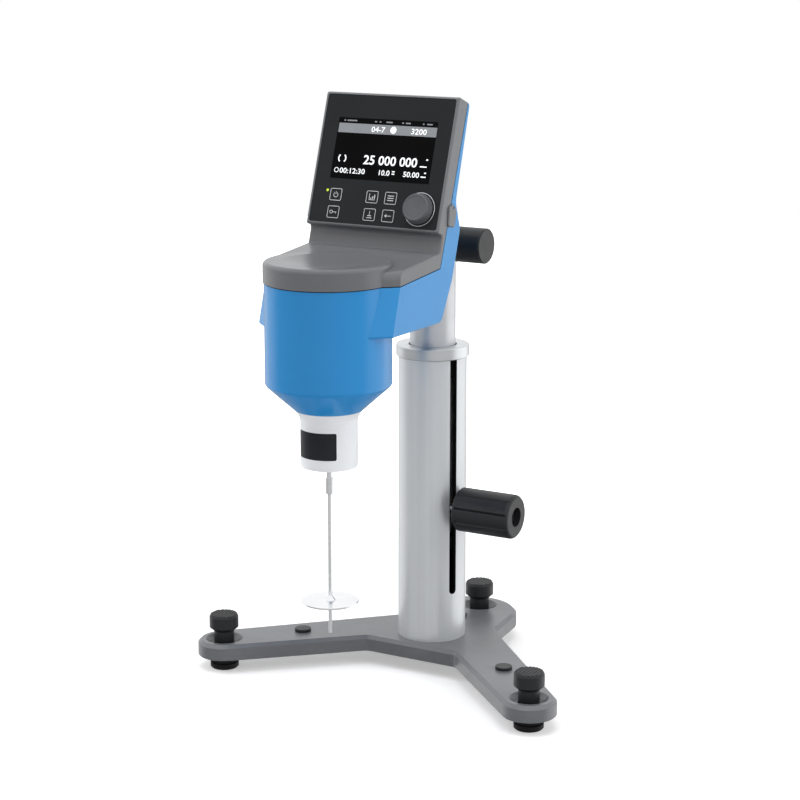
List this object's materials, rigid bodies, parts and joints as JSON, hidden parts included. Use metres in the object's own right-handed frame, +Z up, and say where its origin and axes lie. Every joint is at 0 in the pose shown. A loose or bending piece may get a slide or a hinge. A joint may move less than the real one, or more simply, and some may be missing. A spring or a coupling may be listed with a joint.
{
  "type": "rotational viscometer",
  "caption": "Bench rotational viscometer: disc spindle under a motor head with tilted display, on a tripod rack-and-pinion stand with levelling feet.",
  "frame": {"origin": "middle of the footprint on the bench, under the stand", "axes": "+Z up, +X to the operator's right, -Y towards the operator"},
  "size_m": [0.3502, 0.3414, 0.5116],
  "materials": {
    "plate_paint": "fine powder coat",
    "plug_plastic": "satin black",
    "column_metal": "satin",
    "collar_metal": "satin anodised",
    "tube_metal": "satin",
    "black_plastic": "satin black",
    "rubber": "matt",
    "brass": "machined",
    "steel": "machined",
    "bright_steel": "polished",
    "white_plastic": "satin white",
    "bush_plastic": "black acetal",
    "blue_plastic": "satin blue",
    "grey_plastic": "satin grey",
    "foil": "fine textured anthracite",
    "screen_glass": "dark display",
    "key_plastic": "anthracite with light outline",
    "knob_grey": "soft-touch grey",
    "board": "green laminate",
    "zinc": "plated",
    "spring_bronze": "bright"
  },
  "bodies": {
    "stand": {"base_plate": "plate_paint", "column_bolts": "steel", "column_plug": "steel", "outer_column": "column_metal", "column_collar": "collar_metal", "guide_bush": "bush_plastic", "foot_inserts": "brass", "plate_plugs": "plug_plastic", "rack": "steel"},
    "lift": {"inner_tube": "tube_metal", "key_strips": "bush_plastic", "tube_ring": "bush_plastic", "pinion_bush": "brass", "pinion_housing": "bush_plastic", "clamp_block": "collar_metal"},
    "height_drive": {"pinion": "steel", "height_knob": "black_plastic", "height_knob_screw": "steel"},
    "clamp_shoe": {"clamp_shoe": "brass"},
    "clamp_knob": {"clamp_knob": "black_plastic", "clamp_screw": "steel"},
    "head": {"front_cover": "grey_plastic", "body_shell": "blue_plastic", "cover_seal": "rubber", "cover_screws": "steel", "port_cover": "grey_plastic", "power_inlet": "black_plastic", "data_ports": "zinc", "mounting_rod": "steel", "nose": "white_plastic", "nose_bearings": "bright_steel", "chassis": "zinc", "chassis_screws": "steel", "drive_motor": "steel", "deflection_sensor": "board", "panel_foil": "foil", "lcd_module": "screen_glass", "main_board": "board", "encoder": "zinc"},
    "drive": {"drive_disc": "steel", "torsion_spring": "spring_bronze"},
    "spindle": {"spindle_shaft": "bright_steel", "spindle_coupling": "bright_steel", "disc_spindle": "bright_steel"},
    "menu_press": {"encoder_shaft": "steel"},
    "menu_knob": {"menu_knob": "knob_grey"},
    "pad_left": {"foot_pad_left": "rubber"},
    "screw_left": {"foot_knob_left": "black_plastic"},
    "pad_right": {"foot_pad_right": "rubber"},
    "screw_right": {"foot_knob_right": "black_plastic"},
    "pad_back": {"foot_pad_back": "rubber"},
    "screw_back": {"foot_knob_back": "black_plastic"},
    "key_power": {"key_power": "key_plastic"},
    "key_graph": {"key_graph": "key_plastic"},
    "key_menu": {"key_menu": "key_plastic"},
    "key_lock": {"key_lock": "key_plastic"},
    "key_sample": {"key_sample": "key_plastic"},
    "key_back": {"key_back": "key_plastic"}
  },
  "joints": [
    {"name": "foot_left_height", "type": "slide", "parent": "stand", "child": "pad_left", "axis": [0, 0, 1], "range_m": [-0.0045, 0]},
    {"name": "foot_left_screw", "type": "hinge", "parent": "pad_left", "child": "screw_left", "pos_m": [-0.1519, -0.0539, 0.025], "axis": [0, 0, 1], "range_deg": [-1298, 2]},
    {"name": "foot_right_height", "type": "slide", "parent": "stand", "child": "pad_right", "axis": [0, 0, 1], "range_m": [-0.0045, 0]},
    {"name": "foot_right_screw", "type": "hinge", "parent": "pad_right", "child": "screw_right", "pos_m": [0.1519, -0.0539, 0.025], "axis": [0, 0, 1], "range_deg": [-1298, 2]},
    {"name": "foot_back_height", "type": "slide", "parent": "stand", "child": "pad_back", "axis": [0, 0, 1], "range_m": [-0.0045, 0]},
    {"name": "foot_back_screw", "type": "hinge", "parent": "pad_back", "child": "screw_back", "pos_m": [0, 0.145, 0.025], "axis": [0, 0, 1], "range_deg": [-1298, 2]},
    {"name": "lift", "type": "slide", "parent": "stand", "child": "lift", "axis": [0, 0, 1], "range_m": [-0.068, 0.108]},
    {"name": "height_knob_turn", "type": "hinge", "parent": "lift", "child": "height_drive", "pos_m": [0, 0.04195, 0.1485], "axis": [1, 0, 0], "range_deg": [-1040, 655]},
    {"name": "clamp_shoe_slide", "type": "slide", "parent": "lift", "child": "clamp_shoe", "axis": [1, 0, 0], "range_m": [0, 0.00125]},
    {"name": "clamp_knob_turn", "type": "hinge", "parent": "clamp_shoe", "child": "clamp_knob", "pos_m": [0.02, 0.0537, 0.3802], "axis": [1, 0, 0], "range_deg": [-2, 362]},
    {"name": "head_level", "type": "hinge", "parent": "lift", "child": "head", "pos_m": [0, 0.0137, 0.3802], "axis": [0, 1, 0], "range_deg": [-8, 8]},
    {"name": "drive_turn", "type": "hinge", "parent": "head", "child": "drive", "pos_m": [0, -0.1185, 0.3], "axis": [0, 0, 1], "continuous": true},
    {"name": "spindle_windup", "type": "hinge", "parent": "drive", "child": "spindle", "pos_m": [0, -0.1185, 0.295], "axis": [0, 0, 1], "range_deg": [-2, 85], "stiffness_Nm_per_rad": 0.00048},
    {"name": "menu_press", "type": "slide", "parent": "head", "child": "menu_press", "axis": [0, 0.9494, -0.314], "range_m": [0, 0.0005], "stiffness_N_per_m": 1500, "springref_m": -0.0008},
    {"name": "menu_turn", "type": "hinge", "parent": "menu_press", "child": "menu_knob", "pos_m": [0.0424, -0.04556, 0.42256], "axis": [0, -0.9494, 0.314], "continuous": true},
    {"name": "key_power_press", "type": "slide", "parent": "head", "child": "key_power", "axis": [0, 0.9494, -0.314], "range_m": [0, 0.0004], "stiffness_N_per_m": 1500, "springref_m": -0.0005},
    {"name": "key_graph_press", "type": "slide", "parent": "head", "child": "key_graph", "axis": [0, 0.9494, -0.314], "range_m": [0, 0.0004], "stiffness_N_per_m": 1500, "springref_m": -0.0005},
    {"name": "key_menu_press", "type": "slide", "parent": "head", "child": "key_menu", "axis": [0, 0.9494, -0.314], "range_m": [0, 0.0004], "stiffness_N_per_m": 1500, "springref_m": -0.0005},
    {"name": "key_lock_press", "type": "slide", "parent": "head", "child": "key_lock", "axis": [0, 0.9494, -0.314], "range_m": [0, 0.0004], "stiffness_N_per_m": 1500, "springref_m": -0.0005},
    {"name": "key_sample_press", "type": "slide", "parent": "head", "child": "key_sample", "axis": [0, 0.9494, -0.314], "range_m": [0, 0.0004], "stiffness_N_per_m": 1500, "springref_m": -0.0005},
    {"name": "key_back_press", "type": "slide", "parent": "head", "child": "key_back", "axis": [0, 0.9494, -0.314], "range_m": [0, 0.0004], "stiffness_N_per_m": 1500, "springref_m": -0.0005}
  ],
  "couplings": [
    {"joint": "foot_left_screw", "follows": "foot_left_height", "rad_per_m": 5026.5},
    {"joint": "foot_right_screw", "follows": "foot_right_height", "rad_per_m": 5026.5},
    {"joint": "foot_back_screw", "follows": "foot_back_height", "rad_per_m": 5026.5},
    {"joint": "clamp_knob_turn", "follows": "clamp_shoe_slide", "rad_per_m": 5026.5},
    {"joint": "height_knob_turn", "follows": "lift", "rad_per_m": -166.67}
  ]
}
